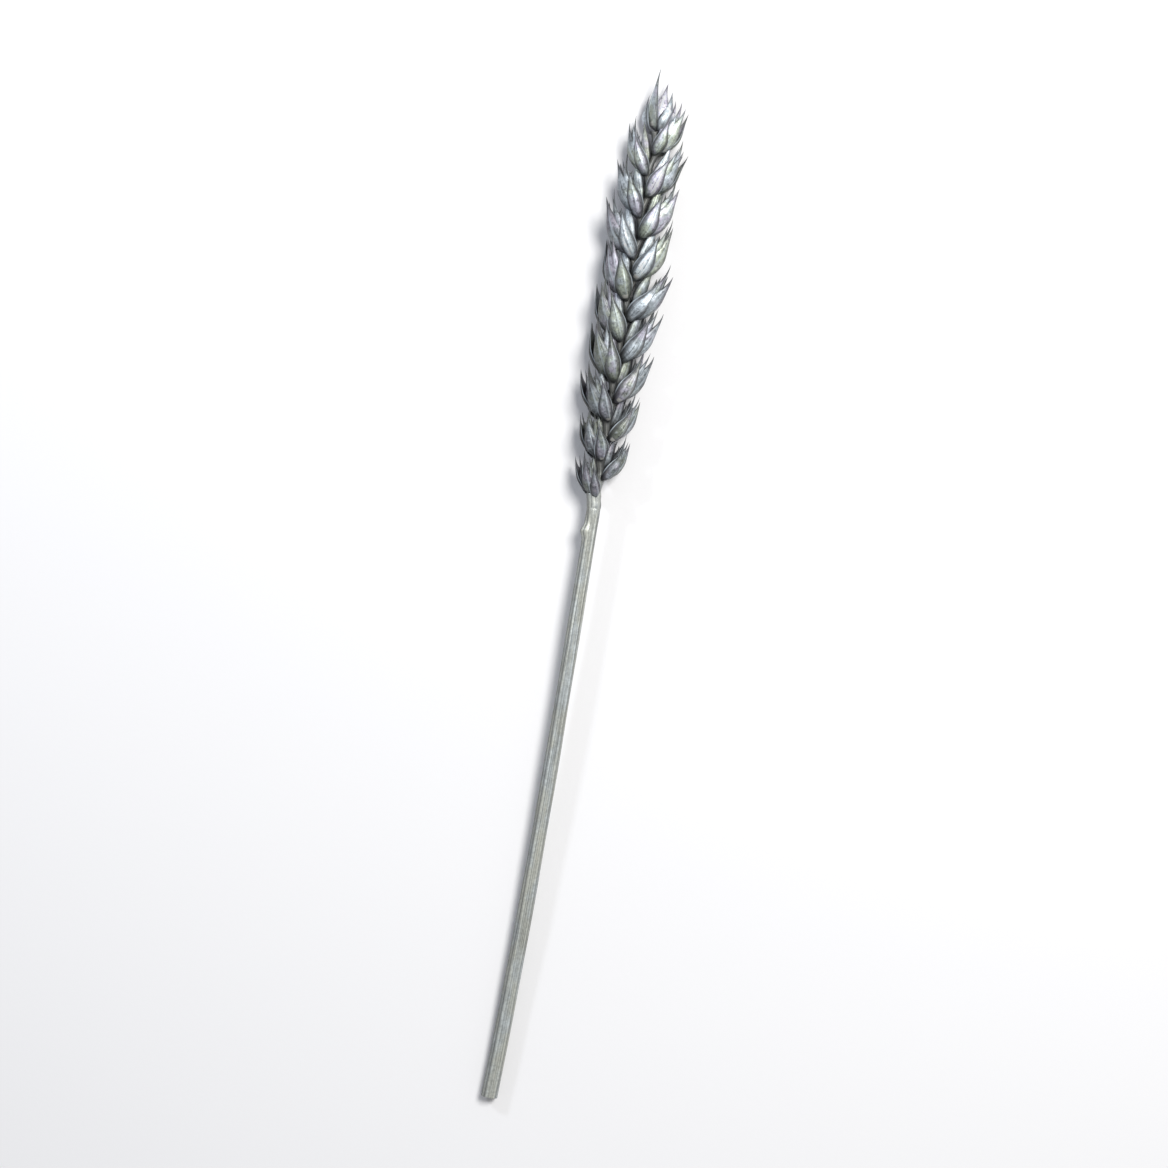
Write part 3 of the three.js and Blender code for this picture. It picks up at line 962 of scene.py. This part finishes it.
class WHEAT_OT_straw(bpy.types.Operator):
    """Draw the grooved straw, hollow at its cut end and flared into the ear"""

    bl_idname = "wheat.straw"
    bl_label = "Straw"

    def execute(self, context):
        ear, growth = Ear(), Growth()
        s = sizes()
        lumen, depth = s.lumen_radius / MM, s.lumen_depth / MM

        def outer(y, angle):
            """The ribbed outside, with slow dents, and the knob on its left."""
            t = (y - ear.cut) / (ear.collar - ear.cut)
            taper = ear.cut_radius + (ear.top_radius - ear.cut_radius) * t
            top = ear.collar
            flare = 0.1 * smooth(top - 5, top, y) - 0.2 * smooth(top - 1.0, top, y)
            ribbed = 1 - smooth(top - 3, top - 1, y)
            rib = (0.07 * np.cos(10 * angle) + 0.02 * np.cos(30 * angle + 1)) * ribbed
            dent = -0.05 * np.sin(y * 0.21) * np.cos(2 * angle + y * 0.03)
            left = np.maximum(0, -np.cos(angle)) ** 3
            knob = KNOB_HEIGHT * math.exp(-(((y - ear.collar + KNOB_BELOW) / KNOB_LENGTH) ** 2)) * left
            return taper + flare + rib + dent + knob

        def inside(y, angle):
            """The lumen, not quite round."""
            return lumen * (1 + 0.02 * np.cos(5 * angle))

        def cut_face(share):
            """A ring on the cut face, from the lumen at 0 to the outside at 1."""
            return lambda y, angle: outer(y, angle) * share + inside(y, angle) * (1 - share)

        def closing(y, angle):
            """The last ring, drawn in a little."""
            return 0.95 * outer(y, angle)

        bare = [(ear.cut + depth * share, inside) for share in LUMEN_STATIONS]
        bare += [(ear.cut + 0.05, inside)] + [(ear.cut, cut_face(share)) for share in CUT_FACE_STATIONS]
        ys = np.linspace(ear.cut + 0.3, ear.collar - 0.1, STRAW_STATIONS)
        painted = [(ear.cut + 0.06, outer)] + [(y, outer) for y in ys] + [(ear.collar - 0.02, closing)]
        stations = [(*station, 0, 1) for station in bare] + [(*station, 0, 0) for station in painted]
        stem_tube(growth, ear, stations, STRAW_COLUMNS)
        growth.piece("culm", straw_paint("culm_paint", 31), "painted_straw", "straw")
        return {"FINISHED"}


class WHEAT_OT_studio(bpy.types.Operator):
    """Set the floor, the lights and the camera that looks down on the ear"""

    bl_idname = "wheat.studio"
    bl_label = "Studio"

    def execute(self, context):
        scene = context.scene
        mesh = bpy.data.meshes.new("floor")
        corners = [(x * FLOOR_SPAN, y * FLOOR_SPAN, 0) for x, y in ((-1, -1), (1, -1), (1, 1), (-1, 1))]
        mesh.from_pydata(corners, [], [(0, 1, 2, 3)])
        mesh.materials.append(pale_floor())
        floor = bpy.data.objects.new("floor", mesh)
        scene.collection.objects.link(floor)
        world = bpy.data.worlds.new("studio")
        scene.world = world
        world.use_nodes = True
        sky = world.node_tree.nodes["Background"]
        sky.inputs["Color"].default_value = SKY_COLOUR
        sky.inputs["Strength"].default_value = SKY_STRENGTH
        for light in LIGHTS:
            self.area(scene, *light)
        scene.view_settings.view_transform = "Standard"
        lens = bpy.data.cameras.new("camera")
        lens.lens = LENS
        camera = bpy.data.objects.new("camera", lens)
        scene.collection.objects.link(camera)
        # Straight above, turned so that the ear leans to the right
        distance = VIEW / 2 / math.tan(lens.angle / 2)
        camera.matrix_world = Matrix.Translation(Vector((0, 0, distance))) @ Matrix.Rotation(LEAN, 4, "Z")
        scene.camera = camera
        return {"FINISHED"}

    def area(self, scene, name, place, size, power, colour):
        """A round soft light aimed at the ear."""
        light = bpy.data.lights.new(name, "AREA")
        light.shape, light.size, light.energy, light.color = "DISK", size, power, colour
        lamp = bpy.data.objects.new(name, light)
        scene.collection.objects.link(lamp)
        lamp.location = place
        lamp.rotation_euler = (Vector(LIGHTS_AIM) - lamp.location).to_track_quat("-Z", "Y").to_euler()


class WHEAT_PT_panel(bpy.types.Panel):
    """Sizes, colours and the steps that grow the ear"""

    bl_label = "Painted wheat ear"
    bl_idname = "WHEAT_PT_panel"
    bl_space_type = "VIEW_3D"
    bl_region_type = "UI"
    bl_category = "Wheat"

    def draw(self, context):
        for group in (context.scene.wheat_sizes, context.scene.wheat_colours):
            box = self.layout.box()
            for name in group.__annotations__:
                box.prop(group, name)
        for step in STEPS:
            self.layout.operator(step.bl_idname)


STEPS = (
    WHEAT_OT_rachis,
    WHEAT_OT_paleas,
    WHEAT_OT_lemmas,
    WHEAT_OT_upper_lemmas,
    WHEAT_OT_glumes,
    WHEAT_OT_bristles,
    WHEAT_OT_straw,
    WHEAT_OT_studio,
)
CLASSES = (EarSizes, PaintColours, *STEPS, WHEAT_PT_panel)


def register():
    """Add the classes, and the sizes and colours to the scene."""
    for made in CLASSES:
        bpy.utils.register_class(made)
    bpy.types.Scene.wheat_sizes = bpy.props.PointerProperty(type=EarSizes)
    bpy.types.Scene.wheat_colours = bpy.props.PointerProperty(type=PaintColours)


def unregister():
    """Take away what register added."""
    del bpy.types.Scene.wheat_sizes
    del bpy.types.Scene.wheat_colours
    for made in reversed(CLASSES):
        bpy.utils.unregister_class(made)


def main():
    """Grow the ear and its studio."""
    register()
    for step in STEPS:
        group, name = step.bl_idname.split(".")
        getattr(getattr(bpy.ops, group), name)()


if __name__ == "__main__":
    main()
